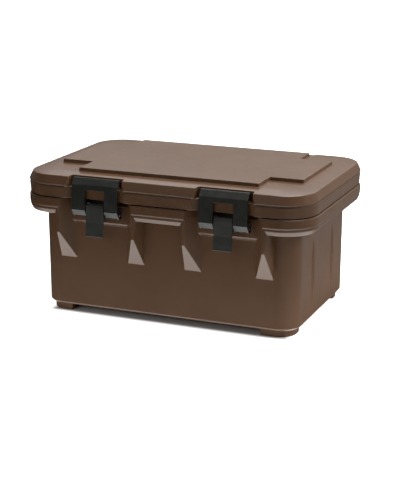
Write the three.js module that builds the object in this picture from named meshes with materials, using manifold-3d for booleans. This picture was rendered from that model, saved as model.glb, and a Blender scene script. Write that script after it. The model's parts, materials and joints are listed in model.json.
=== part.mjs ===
// Insulated food carrier: a top-loading, foam-filled, double-walled box for one full-size food pan,
// with a lift-off lid held by four over-centre draw latches.
//
// Millimetres. +X runs to the right along the long side, +Y to the back, +Z up.
// The origin is on the floor, under the middle of the carrier.

import * as THREE from "three";
import { ConvexGeometry } from "three/addons/geometries/ConvexGeometry.js";
import { mergeVertices } from "three/addons/utils/BufferGeometryUtils.js";
import Module from "manifold-3d";

const wasm = await Module();
wasm.setup();

// ---- Driving dimensions -------------------------------------------------------------------------

const LENGTH = 635; // rim and lid, left to right
const DEPTH = 423; // rim and lid, front to back
const CORNER_RADIUS = 71; // rim and lid, seen from above
const CORNER_STEPS = 6; // straight pieces in each rounded corner
const SKIN = 3.5; // moulded wall thickness
const GAP = 0.3; // between neighbouring pieces

const FOOT_HEIGHT = 14.5;
const FOOT_LENGTHS = { left: 53, right: 66 }; // along the front and back, from the outer edge
const FOOT_WIDTH = 50; // along the ends
const FOOT_INSET = 9.3; // behind the wall
const WALL_INSET = 34.5; // the wall stands this far inside the rim's edge, all round
const WALL_CORNER_RADIUS = 43.5;
const WALL_DRAFT = 1.3; // the wall leans in by this much at the bottom
const BOTTOM_CHAMFER = 4.5;

const RIM_UNDERSIDE_Z = 220;
const RIM_CHAMFER_INSET = 6;
const RIM_EDGE_Z = 230;
const RIM_TOP_Z = 254;

// The pan's body hangs in the lower well and its flange rests on the ledge.
const WELL_FLOOR_Z = 62;
const LEDGE_Z = 222;
const WELL_FLOOR_HALF = { x: 247, y: 144.5 };
const WELL_TOP_HALF = { x: 258, y: 155.5 };
const LEDGE_HALF = { x: 268.5, y: 166 };
const WELL_CORNER_RADIUS = 50;
const LEDGE_CORNER_RADIUS = 38;

const LID_BOTTOM_Z = 256;
const LID_BAND_TOP_Z = 278;
const LID_GROOVE_BOTTOM_Z = 279;
const LID_GROOVE_TOP_Z = 281.5;
const LID_BEVEL_Z = 283; // the lid's widest line, where its top bevel starts
const LID_SHOULDER_Z = 298.5;
const LID_EDGE_Z = 301;
const LID_MARGIN_Z = 304;
const LID_TOP_Z = 311.5;
const LID_BOTTOM_INSET = 2.5; // the lid's insets are from the rim's edge
const LID_BAND_TOP_INSET = 1.2;
const LID_GROOVE_INSET = 3.2;
const LID_SHOULDER_INSET = 6.5;
const LID_EDGE_INSET = 10;
const LID_MARGIN_INSET = 46; // where the top margin reaches its full height
const LID_HOLLOW_INSET = 4; // the hollow's sides keep this far behind the wall's inner face
const LID_PLUG_BOTTOM_Z = 228;
const LID_PLUG_CLEARANCE = 3; // to the well, all round
const LID_PLUG_DRAFT = 2;
const PANEL_ROOT = 3; // the panel starts this far under the margin
const PANEL_MIDDLE_HALF = { x: 198, y: 161.5 }; // raised panel: its deep middle part
const PANEL_WING_HALF = { x: 269, y: 96.5 }; // and the shallower wings left and right of it

const GASKET_HALF = { x: 277.5, y: 174.5 }; // centre line
const GASKET_WIDTH = 8;
const GASKET_CORNER_RADIUS = 44;
const GASKET_GROOVE_DEPTH = 3;

const FILL_PORT_RADIUS = 14;
const PLUG_FLANGE_WIDTH = 5;
const PLUG_FLANGE_THICKNESS = 2;

// Latches. In a latch's own frame x runs along the carrier from the latch's centre, and "out" is the
// distance from the carrier's middle plane, so a front latch faces -Y.
const LATCH_X = 140.5; // from the carrier's centre
const POCKET_OUT = 183; // back of the pocket in the rim
const POCKET_HALF_WIDTH = 58.6; // at the wall
const POCKET_FRONT_HALF_WIDTH = 80.1; // at the rim's edge
const POCKET_BACK_SPARE = 4; // cut away beyond the pocket's width, and filled again by its ribs
const POCKET_FRONT_SPARE = 1;
const CUT_MARGIN = 10; // how far a cut reaches beyond the outside
const BUTTRESS_FRONT = { inner: 80.1, outer: 89.7 };
const BUTTRESS_BASE = { inner: 59.2, outer: 96.4 };
const BUTTRESS_FACET_Z = 184.7;
const BUTTRESS_BASE_Z = 119.4;
const BUTTRESS_ROOT = 0.5; // inside the wall
const PAD_BOTTOM_Z = 198.5;
const PAD_CHAMFER = 6;
const PAD_THICKNESS = 9.5; // solid behind the pad's face, for the inserts
const PAD_OVERLAP = 3; // into the ribs each side
const RECESS_OUT = 189.5; // back of the recess in the lid
const RECESS_HALF_WIDTH = 60;
const RECESS_BAND_OUT = 200; // the lower band ramps in to here beside the link
const RECESS_BAND_HALF_WIDTH = 71;

const LEVER_AXIS = { out: 200, z: 238.5 };
const LINK_AXIS = { out: 196, z: 226 };
const LEVER_HALF_WIDTH = 19.8;
const LEVER_THICKNESS = 3;
const LEVER_TURN_RADIUS = 9.2; // the lever's outer face, from its axis
const LEVER_CAP_END = 85; // degrees, where the cap over the bracket's lug stops
const LEVER_BEND_Z = 209;
const LEVER_BOTTOM_Z = 180;
const LEVER_FLARE = 4.3; // the lower end stands this much further out
const LEVER_RIB_INNER = 9.6;
const LEVER_RIB_RADIUS = 4.8; // round the link's pin
const LEVER_RIB_ARC_END = 300; // degrees
const LEVER_RIB_BOTTOM_Z = 212;

const LINK_HALF_WIDTH = 51.5;
const LINK_WINDOW_HALF_WIDTH = 21.7;
const LINK_WINDOW_TOP_Z = 276;
const LINK_THICKNESS = 3.2;
const LINK_FOOT = { out: 211, z: 234 };
const LINK_BEND = { out: 206.5, z: 289 };
const LINK_CREST = { out: 196, z: 300.3 };
const LINK_BARREL_RADIUS = 5.4;
const LINK_LEG_Z = 239; // where the leg's back turns in to the barrel
const LINK_HEEL_OUT = 202.5; // where the leg's foot turns under
const LINK_EYE = { out: 196.5, z: 230, depth: 9.5, rise: 12.5 }; // the cheeks beside the feet
const LINK_EYE_ROOT = 4; // how far a cheek reaches into its leg
const LINK_EYE_PROUD = 0.6; // and how far beyond it
const HOOK_TIP = { out: 190.3, z: 287 };
const HOOK_SHOULDER = { out: 191.3, z: 298.3 };
const HOOK_BACK_Z = 295.3;
const HOOK_THICKNESS = 2.8;
const HOOK_INSIDE = { crestZ: 296.1, tipZ: 294.3, bendZ: 287.2 };

const BRACKET_HALF_WIDTH = 31;
const BRACKET_THICKNESS = 3.2;
const BRACKET_BOTTOM_Z = 214;
const BRACKET_TOP_Z = 250;
const BRACKET_LUG_HALF_WIDTH = 9;
const BRACKET_LUG_RADIUS = 5.5;
const BRACKET_LUG_ROOT = { low: 222, high: 232 }; // heights where the lug leaves the plate
const BRACKET_LUG_ARC = { from: -110, to: 205 }; // degrees round the lever's pin

const LEVER_PIN_RADIUS = 2.5;
const LINK_PIN_RADIUS = 2.2;
const PIN_CLEARANCE = 0.12;
const PIN_SIDES = 16;

const SCREW_X = 24;
const SCREW_Z = 243;
const SCREW_RADIUS = 2.4;
const SCREW_HEAD_RADIUS = 4.4;
const SCREW_HEAD_HEIGHT = 2.6;
const SCREW_LENGTH = 10.5; // under the head
const INSERT_RADIUS = 4;
const INSERT_LENGTH = 8;
const SCREW_SIDES = 12;

// ---- Materials ----------------------------------------------------------------------------------

const BROWN = { color: 0x5d4a3f, roughness: 0.55, metalness: 0 };
const BLACK = { color: 0x1e201f, roughness: 0.45, metalness: 0 };
const FOAM = { color: 0xd9c48f, roughness: 0.95, metalness: 0 };
const RUBBER = { color: 0x2b2b2b, roughness: 0.8, metalness: 0 };
const STEEL = { color: 0xb5b7ba, roughness: 0.3, metalness: 1 };
const BRASS = { color: 0xb58f4a, roughness: 0.35, metalness: 1 };

// ---- Solids -------------------------------------------------------------------------------------

// A closed geometry as a solid that can be joined and cut.
function solid(geometry) {
  const bare = new THREE.BufferGeometry();
  bare.setAttribute("position", geometry.getAttribute("position"));
  bare.setIndex(geometry.getIndex());
  const merged = mergeVertices(bare, 1e-3);
  return new wasm.Manifold(
    new wasm.Mesh({
      numProp: 3,
      vertProperties: merged.getAttribute("position").array,
      triVerts: new Uint32Array(merged.getIndex().array),
    }),
  );
}

// A finished solid as a geometry.
function geometryOf(finished) {
  const mesh = finished.getMesh();
  const geometry = new THREE.BufferGeometry();
  geometry.setAttribute("position", new THREE.BufferAttribute(mesh.vertProperties, 3));
  geometry.setIndex(new THREE.BufferAttribute(mesh.triVerts, 1));
  geometry.computeVertexNormals();
  return geometry;
}

function piece(name, finished, finish) {
  const mesh = new THREE.Mesh(geometryOf(finished), new THREE.MeshStandardMaterial(finish));
  mesh.name = name;
  return mesh;
}

// The points of a rectangle with rounded corners, anticlockwise from above.
function roundedRing({ half, radius, z }) {
  const centres = [
    [half.x - radius, half.y - radius],
    [radius - half.x, half.y - radius],
    [radius - half.x, radius - half.y],
    [half.x - radius, radius - half.y],
  ];
  return centres.flatMap(([x, y], corner) =>
    Array.from({ length: CORNER_STEPS + 1 }, (_, step) => {
      const angle = (corner + step / CORNER_STEPS) * (Math.PI / 2);
      return new THREE.Vector3(x + radius * Math.cos(angle), y + radius * Math.sin(angle), z);
    }),
  );
}

// A solid through rounded rectangles, from the lowest to the highest.
function loft(sections) {
  const rings = sections.map(roundedRing);
  const count = rings[0].length;
  const top = (rings.length - 1) * count;
  const indices = [];
  for (let level = 0; level + 1 < rings.length; level++) {
    for (let i = 0; i < count; i++) {
      const a = level * count + i;
      const b = level * count + ((i + 1) % count);
      indices.push(a, b, b + count, a, b + count, a + count);
    }
  }
  for (let i = 1; i + 1 < count; i++) {
    indices.push(0, i + 1, i);
    indices.push(top, top + i, top + i + 1);
  }
  const geometry = new THREE.BufferGeometry().setFromPoints(rings.flat());
  geometry.setIndex(indices);
  return solid(geometry);
}

function box(low, high) {
  const size = new THREE.Vector3().subVectors(high, low);
  const geometry = new THREE.BoxGeometry(size.x, size.y, size.z);
  geometry.translate((low.x + high.x) / 2, (low.y + high.y) / 2, (low.z + high.z) / 2);
  return geometry;
}

// A side outline, drawn in (out, z), stretched along x from one place to another.
function prism(outline, from, to) {
  const geometry = new THREE.ExtrudeGeometry(outline, {
    depth: to - from,
    bevelEnabled: false,
    curveSegments: 6,
  });
  const place = new THREE.Matrix4().makeBasis(
    new THREE.Vector3(0, -1, 0),
    new THREE.Vector3(0, 0, 1),
    new THREE.Vector3(-1, 0, 0),
  );
  place.setPosition(to, 0, 0);
  return geometry.applyMatrix4(place);
}

function outline(points) {
  return new THREE.Shape(points.map(([out, z]) => new THREE.Vector2(out, z)));
}

// A rod along x, centred on the latch.
function rod(axis, radius, halfLength, sides) {
  const geometry = new THREE.CylinderGeometry(radius, radius, 2 * halfLength, sides);
  geometry.rotateZ(Math.PI / 2);
  return geometry.translate(0, -axis.out, axis.z);
}

// A round bar that points out of the carrier at a screw's place.
function screwBar(x, radius, from, to) {
  const geometry = new THREE.CylinderGeometry(radius, radius, to - from, SCREW_SIDES);
  return geometry.translate(x, -(from + to) / 2, SCREW_Z);
}

// A hull over points given as [x, out, z].
function hull(points) {
  return new ConvexGeometry(points.map(([x, out, z]) => new THREE.Vector3(x, -out, z)));
}

const radians = (degrees) => (degrees * Math.PI) / 180;

// ---- Latch places -------------------------------------------------------------------------------

const LATCHES = [
  { name: "front_left", x: -LATCH_X, turn: 0 },
  { name: "front_right", x: LATCH_X, turn: 0 },
  { name: "rear_left", x: -LATCH_X, turn: Math.PI },
  { name: "rear_right", x: LATCH_X, turn: Math.PI },
];

// The same geometry in each latch's place on the carrier, as one solid.
function atEachLatch(geometry) {
  return LATCHES.map(({ x, turn }) => {
    const place = new THREE.Matrix4().makeRotationZ(turn);
    place.setPosition(x, 0, 0);
    return solid(geometry.clone().applyMatrix4(place));
  }).reduce((all, one) => all.add(one));
}

// ---- Carrier body -------------------------------------------------------------------------------

const inset = (amount) => ({ x: LENGTH / 2 - amount, y: DEPTH / 2 - amount });
const grown = (half, amount) => ({ x: half.x + amount, y: half.y + amount });

function bodyOutside() {
  const bottom = WALL_INSET + WALL_DRAFT;
  return loft([
    {
      half: inset(bottom + BOTTOM_CHAMFER),
      radius: WALL_CORNER_RADIUS - BOTTOM_CHAMFER,
      z: FOOT_HEIGHT,
    },
    { half: inset(bottom), radius: WALL_CORNER_RADIUS, z: FOOT_HEIGHT + BOTTOM_CHAMFER },
    { half: inset(WALL_INSET), radius: WALL_CORNER_RADIUS, z: RIM_UNDERSIDE_Z },
    {
      half: inset(RIM_CHAMFER_INSET),
      radius: CORNER_RADIUS - RIM_CHAMFER_INSET,
      z: RIM_UNDERSIDE_Z,
    },
    { half: inset(0), radius: CORNER_RADIUS, z: RIM_EDGE_Z },
    { half: inset(0), radius: CORNER_RADIUS, z: RIM_TOP_Z },
  ]);
}

// The well that holds the pan. Extra is added all round, for the wall behind it.
function well(extra) {
  const corner = WELL_CORNER_RADIUS + extra;
  const ledgeCorner = LEDGE_CORNER_RADIUS + extra;
  return loft([
    { half: grown(WELL_FLOOR_HALF, extra), radius: corner, z: WELL_FLOOR_Z - extra },
    { half: grown(WELL_TOP_HALF, extra), radius: corner, z: LEDGE_Z - extra },
    { half: grown(LEDGE_HALF, extra), radius: ledgeCorner, z: LEDGE_Z - extra },
    { half: grown(LEDGE_HALF, extra), radius: ledgeCorner, z: RIM_TOP_Z + 1 },
  ]);
}

// The pockets in the rim that the latches hang in.
function pockets(extra) {
  const back = POCKET_HALF_WIDTH + POCKET_BACK_SPARE;
  const front = POCKET_FRONT_HALF_WIDTH + POCKET_FRONT_SPARE;
  const beyond = DEPTH / 2 + CUT_MARGIN;
  const corners = [
    [-back - extra, POCKET_OUT - extra],
    [back + extra, POCKET_OUT - extra],
    [front + extra, DEPTH / 2],
    [front + extra, beyond],
    [-front - extra, beyond],
    [-front - extra, DEPTH / 2],
  ];
  const levels = [PAD_BOTTOM_Z, RIM_TOP_Z + 1];
  return atEachLatch(hull(levels.flatMap((z) => corners.map(([x, out]) => [x, out, z]))));
}

// The two ribs beside a latch, which carry the rim and end in a sloping facet.
function buttresses() {
  const wall = DEPTH / 2 - WALL_INSET - WALL_DRAFT - BUTTRESS_ROOT;
  const front = DEPTH / 2;
  const rib = (side) =>
    hull([
      [side * BUTTRESS_FRONT.inner, front, RIM_TOP_Z],
      [side * BUTTRESS_FRONT.outer, front, RIM_TOP_Z],
      [side * BUTTRESS_BASE.inner, wall, RIM_TOP_Z],
      [side * BUTTRESS_BASE.outer, wall, RIM_TOP_Z],
      [side * BUTTRESS_FRONT.inner, front, BUTTRESS_FACET_Z],
      [side * BUTTRESS_FRONT.outer, front, BUTTRESS_FACET_Z],
      [side * BUTTRESS_BASE.inner, wall, BUTTRESS_BASE_Z],
      [side * BUTTRESS_BASE.outer, wall, BUTTRESS_BASE_Z],
    ]);
  return atEachLatch(rib(-1)).add(atEachLatch(rib(1)));
}

// The flat pad at the back of each pocket, which the bracket is screwed to.
function pads() {
  const embedded = POCKET_OUT - PAD_THICKNESS - GAP;
  const profile = outline([
    [embedded, PAD_BOTTOM_Z],
    [POCKET_OUT - PAD_CHAMFER, PAD_BOTTOM_Z],
    [POCKET_OUT, PAD_BOTTOM_Z + PAD_CHAMFER],
    [POCKET_OUT, RIM_TOP_Z],
    [embedded, RIM_TOP_Z],
  ]);
  const half = BUTTRESS_BASE.inner + PAD_OVERLAP;
  return atEachLatch(prism(profile, -half, half));
}

// Corner feet: what is left of a low slab once the middle of each side is cut away.
function feet() {
  const half = inset(WALL_INSET + WALL_DRAFT + FOOT_INSET);
  const radius = WALL_CORNER_RADIUS - FOOT_INSET;
  const slab = loft([
    { half, radius, z: 0 },
    { half, radius, z: FOOT_HEIGHT + 1 },
  ]);
  const across = box(
    new THREE.Vector3(FOOT_LENGTHS.left - half.x, -half.y - 1, -1),
    new THREE.Vector3(half.x - FOOT_LENGTHS.right, half.y + 1, FOOT_HEIGHT + 2),
  );
  const along = box(
    new THREE.Vector3(-half.x - 1, FOOT_WIDTH - half.y, -1),
    new THREE.Vector3(half.x + 1, half.y - FOOT_WIDTH, FOOT_HEIGHT + 2),
  );
  return slab.subtract(solid(across)).subtract(solid(along));
}

// The hollow between the outer and inner walls. Smaller by gap all round, it is the foam.
function bodyHollow(gap) {
  const skin = SKIN + gap;
  const bottom = WALL_INSET + WALL_DRAFT;
  const underside = RIM_CHAMFER_INSET + skin;
  const wallSpace = loft([
    {
      half: inset(bottom + skin),
      radius: WALL_CORNER_RADIUS - skin,
      z: FOOT_HEIGHT + skin,
    },
    { half: inset(WALL_INSET + skin), radius: WALL_CORNER_RADIUS - skin, z: RIM_UNDERSIDE_Z },
    { half: inset(WALL_INSET + skin), radius: WALL_CORNER_RADIUS - skin, z: RIM_TOP_Z - skin },
  ]);
  const rimSpace = loft([
    { half: inset(underside), radius: CORNER_RADIUS - underside, z: RIM_UNDERSIDE_Z + skin },
    { half: inset(skin), radius: CORNER_RADIUS - skin, z: RIM_EDGE_Z + skin / 2 },
    { half: inset(skin), radius: CORNER_RADIUS - skin, z: RIM_TOP_Z - skin },
  ]);
  return wallSpace.add(rimSpace.subtract(pockets(PAD_THICKNESS + gap))).subtract(well(skin));
}

// A round hole or plug on the carrier's centre line.
function upright(radius, low, high) {
  const geometry = new THREE.CylinderGeometry(radius, radius, high - low, 24);
  geometry.rotateX(Math.PI / 2);
  return solid(geometry.translate(0, 0, (low + high) / 2));
}

function screwHoles() {
  const from = POCKET_OUT - INSERT_LENGTH - GAP;
  const hole = (x) => atEachLatch(screwBar(x, INSERT_RADIUS + GAP, from, POCKET_OUT + 1));
  return hole(-SCREW_X).add(hole(SCREW_X));
}

function bodyShell() {
  const shell = bodyOutside()
    .subtract(pockets(0))
    .add(buttresses())
    .add(pads())
    .add(feet())
    .subtract(well(0))
    .subtract(bodyHollow(0))
    .subtract(screwHoles())
    .subtract(upright(FILL_PORT_RADIUS, FOOT_HEIGHT - 1, FOOT_HEIGHT + SKIN + 1));
  return piece("body_shell", shell, BROWN);
}

function bodyFoam() {
  return piece("body_foam", bodyHollow(GAP), FOAM);
}

// A plug pressed into a fill port from below, with a flange that covers the hole's edge.
function fillPlug(name, face) {
  const under = face - GAP - PLUG_FLANGE_THICKNESS;
  const flange = upright(FILL_PORT_RADIUS + PLUG_FLANGE_WIDTH, under, face - GAP);
  const stem = upright(FILL_PORT_RADIUS - GAP, under + 1, face + SKIN - GAP);
  return piece(name, flange.add(stem), BLACK);
}

// ---- Lid ----------------------------------------------------------------------------------------

function lidOutside() {
  const plug = grown(LEDGE_HALF, -LID_PLUG_CLEARANCE);
  const plugRadius = LEDGE_CORNER_RADIUS - LID_PLUG_CLEARANCE;
  const ring = (amount, z) => ({ half: inset(amount), radius: CORNER_RADIUS - amount, z });
  return loft([
    {
      half: grown(plug, -LID_PLUG_DRAFT),
      radius: plugRadius - LID_PLUG_DRAFT,
      z: LID_PLUG_BOTTOM_Z,
    },
    { half: plug, radius: plugRadius, z: LID_BOTTOM_Z },
    ring(LID_BOTTOM_INSET, LID_BOTTOM_Z),
    ring(LID_BAND_TOP_INSET, LID_BAND_TOP_Z),
    ring(LID_GROOVE_INSET, LID_GROOVE_BOTTOM_Z),
    ring(LID_GROOVE_INSET, LID_GROOVE_TOP_Z),
    ring(0, LID_BEVEL_Z),
    ring(LID_SHOULDER_INSET, LID_SHOULDER_Z),
    ring(LID_EDGE_INSET, LID_EDGE_Z),
    ring(LID_MARGIN_INSET, LID_MARGIN_Z),
  ]);
}

// The raised panel: a cross with a deep middle and shallower wings, so that carriers stack.
// Smaller by skin all round, it is the panel's share of the hollow.
function raisedPanel(skin) {
  const slab = (full) => {
    const half = grown(full, -skin);
    const low = new THREE.Vector3(-half.x, -half.y, LID_MARGIN_Z - PANEL_ROOT - skin);
    return box(low, new THREE.Vector3(half.x, half.y, LID_TOP_Z - skin));
  };
  return solid(slab(PANEL_MIDDLE_HALF)).add(solid(slab(PANEL_WING_HALF)));
}

// The recesses in the lid's edge that the links stand in, with the lower band ramped in beside them.
// Extra is added all round, for the wall behind them.
function recesses(extra) {
  const beyond = DEPTH / 2 + 10;
  const half = RECESS_HALF_WIDTH + extra;
  const deep = box(
    new THREE.Vector3(-half, -beyond, LID_BOTTOM_Z - 1),
    new THREE.Vector3(half, extra - RECESS_OUT, LID_TOP_Z + 1),
  );
  const back = RECESS_BAND_OUT - extra;
  const wide = RECESS_BAND_HALF_WIDTH + extra;
  const corners = [
    [-half, back],
    [half, back],
    [wide, DEPTH / 2],
    [wide, beyond],
    [-wide, beyond],
    [-wide, DEPTH / 2],
  ];
  const levels = [LID_BOTTOM_Z - 1, LID_BAND_TOP_Z + extra];
  const ramps = hull(levels.flatMap((z) => corners.map(([x, out]) => [x, out, z])));
  return atEachLatch(deep).add(atEachLatch(ramps));
}

// A flat ring that follows the gasket's line.
function gasketRing(width, low, high) {
  const side = (amount) => {
    const half = grown(GASKET_HALF, amount);
    const radius = GASKET_CORNER_RADIUS + amount;
    return (z) => ({ half, radius, z });
  };
  const outer = side(width / 2);
  const inner = side(-width / 2);
  return loft([outer(low), outer(high)]).subtract(loft([inner(low - 1), inner(high + 1)]));
}

// The hollow in the lid. Smaller by gap all round, it is the lid's foam.
function lidHollow(gap) {
  const skin = SKIN + gap;
  const plug = grown(LEDGE_HALF, -LID_PLUG_CLEARANCE - skin);
  const plugRadius = LEDGE_CORNER_RADIUS - LID_PLUG_CLEARANCE - skin;
  const floor = LID_BOTTOM_Z + GASKET_GROOVE_DEPTH + skin;
  const side = skin + LID_HOLLOW_INSET;
  const ring = (amount, z) => ({ half: inset(amount), radius: CORNER_RADIUS - amount, z });
  return loft([
    {
      half: grown(plug, -LID_PLUG_DRAFT),
      radius: plugRadius - LID_PLUG_DRAFT,
      z: LID_PLUG_BOTTOM_Z + skin,
    },
    { half: plug, radius: plugRadius, z: floor },
    ring(side, floor),
    ring(side, LID_GROOVE_TOP_Z),
    ring(side + LID_SHOULDER_INSET, LID_EDGE_Z - skin),
    ring(LID_MARGIN_INSET, LID_MARGIN_Z - skin),
  ])
    .add(raisedPanel(skin))
    .subtract(recesses(skin));
}

function lidShell() {
  const groove = gasketRing(
    GASKET_WIDTH + 2 * GAP,
    LID_BOTTOM_Z - 1,
    LID_BOTTOM_Z + GASKET_GROOVE_DEPTH,
  );
  const shell = lidOutside()
    .add(raisedPanel(0))
    .subtract(recesses(0))
    .subtract(groove)
    .subtract(lidHollow(0))
    .subtract(upright(FILL_PORT_RADIUS, LID_PLUG_BOTTOM_Z - 1, LID_PLUG_BOTTOM_Z + SKIN + 1));
  return piece("lid_shell", shell, BROWN);
}

function lidFoam() {
  return piece("lid_foam", lidHollow(GAP), FOAM);
}

function lidGasket() {
  const ring = gasketRing(
    GASKET_WIDTH,
    RIM_TOP_Z + GAP,
    LID_BOTTOM_Z + GASKET_GROOVE_DEPTH - GAP,
  );
  return piece("lid_gasket", ring, RUBBER);
}

// ---- Latch --------------------------------------------------------------------------------------

// The bracket: a plate screwed to the pad, with a lug in the middle that holds the lever's pin.
function bracket() {
  const back = POCKET_OUT + GAP;
  const front = back + BRACKET_THICKNESS;
  const plate = box(
    new THREE.Vector3(-BRACKET_HALF_WIDTH, -front, BRACKET_BOTTOM_Z),
    new THREE.Vector3(BRACKET_HALF_WIDTH, -back, BRACKET_TOP_Z),
  );
  const lug = new THREE.Shape();
  lug.moveTo(front - 1, BRACKET_LUG_ROOT.low);
  lug.absarc(
    LEVER_AXIS.out,
    LEVER_AXIS.z,
    BRACKET_LUG_RADIUS,
    radians(BRACKET_LUG_ARC.from),
    radians(BRACKET_LUG_ARC.to),
    false,
  );
  lug.lineTo(front - 1, BRACKET_LUG_ROOT.high);
  const screwHole = (x) =>
    solid(screwBar(x, SCREW_RADIUS + GAP, back - 1, front + 1));
  const pinHole = rod(
    LEVER_AXIS,
    LEVER_PIN_RADIUS + PIN_CLEARANCE,
    BRACKET_LUG_HALF_WIDTH + 1,
    PIN_SIDES,
  );
  return solid(plate)
    .add(solid(prism(lug, -BRACKET_LUG_HALF_WIDTH, BRACKET_LUG_HALF_WIDTH)))
    .subtract(screwHole(-SCREW_X))
    .subtract(screwHole(SCREW_X))
    .subtract(solid(pinHole));
}

// The lever: a plate that hangs down over the bracket, capped round at the top and flared at the
// bottom, with a rib each side that holds the link's pin behind it.
function lever() {
  const { out, z } = LEVER_AXIS;
  const face = out + LEVER_TURN_RADIUS;
  const back = face - LEVER_THICKNESS;
  const cap = radians(LEVER_CAP_END);
  const handle = new THREE.Shape();
  handle.absarc(out, z, LEVER_TURN_RADIUS, cap, 0, true);
  handle.lineTo(face, LEVER_BEND_Z);
  handle.lineTo(face + LEVER_FLARE, LEVER_BOTTOM_Z);
  handle.lineTo(face + LEVER_FLARE - LEVER_THICKNESS, LEVER_BOTTOM_Z);
  handle.lineTo(back, LEVER_BEND_Z);
  handle.absarc(out, z, LEVER_TURN_RADIUS - LEVER_THICKNESS, 0, cap, false);

  const rib = new THREE.Shape();
  rib.absarc(out, z, LEVER_TURN_RADIUS - LEVER_THICKNESS / 2, 0, Math.PI, false);
  rib.absarc(
    LINK_AXIS.out,
    LINK_AXIS.z,
    LEVER_RIB_RADIUS,
    Math.PI,
    radians(LEVER_RIB_ARC_END),
    false,
  );
  rib.lineTo(back + 1, LEVER_RIB_BOTTOM_Z);

  const holes = [
    rod(LEVER_AXIS, LEVER_PIN_RADIUS + PIN_CLEARANCE, LEVER_HALF_WIDTH + 1, PIN_SIDES),
    rod(LINK_AXIS, LINK_PIN_RADIUS + PIN_CLEARANCE, LEVER_HALF_WIDTH + 1, PIN_SIDES),
  ];
  return solid(prism(handle, -LEVER_HALF_WIDTH, LEVER_HALF_WIDTH))
    .add(solid(prism(rib, -LEVER_HALF_WIDTH, -LEVER_RIB_INNER)))
    .add(solid(prism(rib, LEVER_RIB_INNER, LEVER_HALF_WIDTH)))
    .subtract(solid(holes[0]))
    .subtract(solid(holes[1]));
}

// The link: a plate with a window for the lever, barrels and cheeks at its feet and a hook along
// its top.
function link() {
  const lean = (LINK_FOOT.out - LINK_BEND.out) / (LINK_BEND.z - LINK_FOOT.z);
  const faceAt = (z) => LINK_FOOT.out - lean * (z - LINK_FOOT.z);
  const backAt = (z) => faceAt(z) - LINK_THICKNESS;

  const top = outline([
    [faceAt(LINK_WINDOW_TOP_Z), LINK_WINDOW_TOP_Z],
    [LINK_BEND.out, LINK_BEND.z],
    [LINK_CREST.out, LINK_CREST.z],
    [HOOK_SHOULDER.out, HOOK_SHOULDER.z],
    [HOOK_TIP.out, HOOK_BACK_Z],
    [HOOK_TIP.out, HOOK_TIP.z],
    [HOOK_TIP.out + HOOK_THICKNESS, HOOK_TIP.z],
    [HOOK_TIP.out + HOOK_THICKNESS, HOOK_INSIDE.tipZ],
    [LINK_CREST.out, HOOK_INSIDE.crestZ],
    [LINK_BEND.out - LINK_THICKNESS, HOOK_INSIDE.bendZ],
    [backAt(LINK_WINDOW_TOP_Z), LINK_WINDOW_TOP_Z],
  ]);

  const leg = new THREE.Shape();
  leg.moveTo(faceAt(LINK_WINDOW_TOP_Z + 1), LINK_WINDOW_TOP_Z + 1);
  leg.lineTo(backAt(LINK_WINDOW_TOP_Z + 1), LINK_WINDOW_TOP_Z + 1);
  leg.lineTo(backAt(LINK_LEG_Z), LINK_LEG_Z);
  leg.absarc(
    LINK_AXIS.out,
    LINK_AXIS.z,
    LINK_BARREL_RADIUS,
    radians(90),
    radians(270),
    false,
  );
  leg.lineTo(LINK_HEEL_OUT, LINK_AXIS.z - LINK_BARREL_RADIUS);
  leg.lineTo(LINK_FOOT.out, LINK_FOOT.z);

  const eye = new THREE.Shape();
  eye.absellipse(LINK_EYE.out, LINK_EYE.z, LINK_EYE.depth, LINK_EYE.rise, 0, 2 * Math.PI);
  const eyeInside = LINK_HALF_WIDTH - LINK_EYE_ROOT;
  const eyeOutside = LINK_HALF_WIDTH + LINK_EYE_PROUD;

  const pinHole = rod(LINK_AXIS, LINK_PIN_RADIUS + PIN_CLEARANCE, eyeOutside + 1, PIN_SIDES);
  return solid(prism(top, -LINK_HALF_WIDTH, LINK_HALF_WIDTH))
    .add(solid(prism(leg, -LINK_HALF_WIDTH, -LINK_WINDOW_HALF_WIDTH)))
    .add(solid(prism(leg, LINK_WINDOW_HALF_WIDTH, LINK_HALF_WIDTH)))
    .add(solid(prism(eye, -eyeOutside, -eyeInside)))
    .add(solid(prism(eye, eyeInside, eyeOutside)))
    .subtract(solid(pinHole));
}

function screw(x) {
  const under = POCKET_OUT + BRACKET_THICKNESS + 2 * GAP;
  const shank = screwBar(x, SCREW_RADIUS, under - SCREW_LENGTH, under + 1);
  const head = screwBar(x, SCREW_HEAD_RADIUS, under, under + SCREW_HEAD_HEIGHT);
  return solid(shank).add(solid(head));
}

// A threaded insert moulded into the pad behind each screw.
function insert(x) {
  const end = POCKET_OUT - GAP / 2;
  const sleeve = screwBar(x, INSERT_RADIUS, end - INSERT_LENGTH, end);
  const bore = screwBar(x, SCREW_RADIUS + GAP, end - INSERT_LENGTH - 1, end + 1);
  return solid(sleeve).subtract(solid(bore));
}

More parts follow.
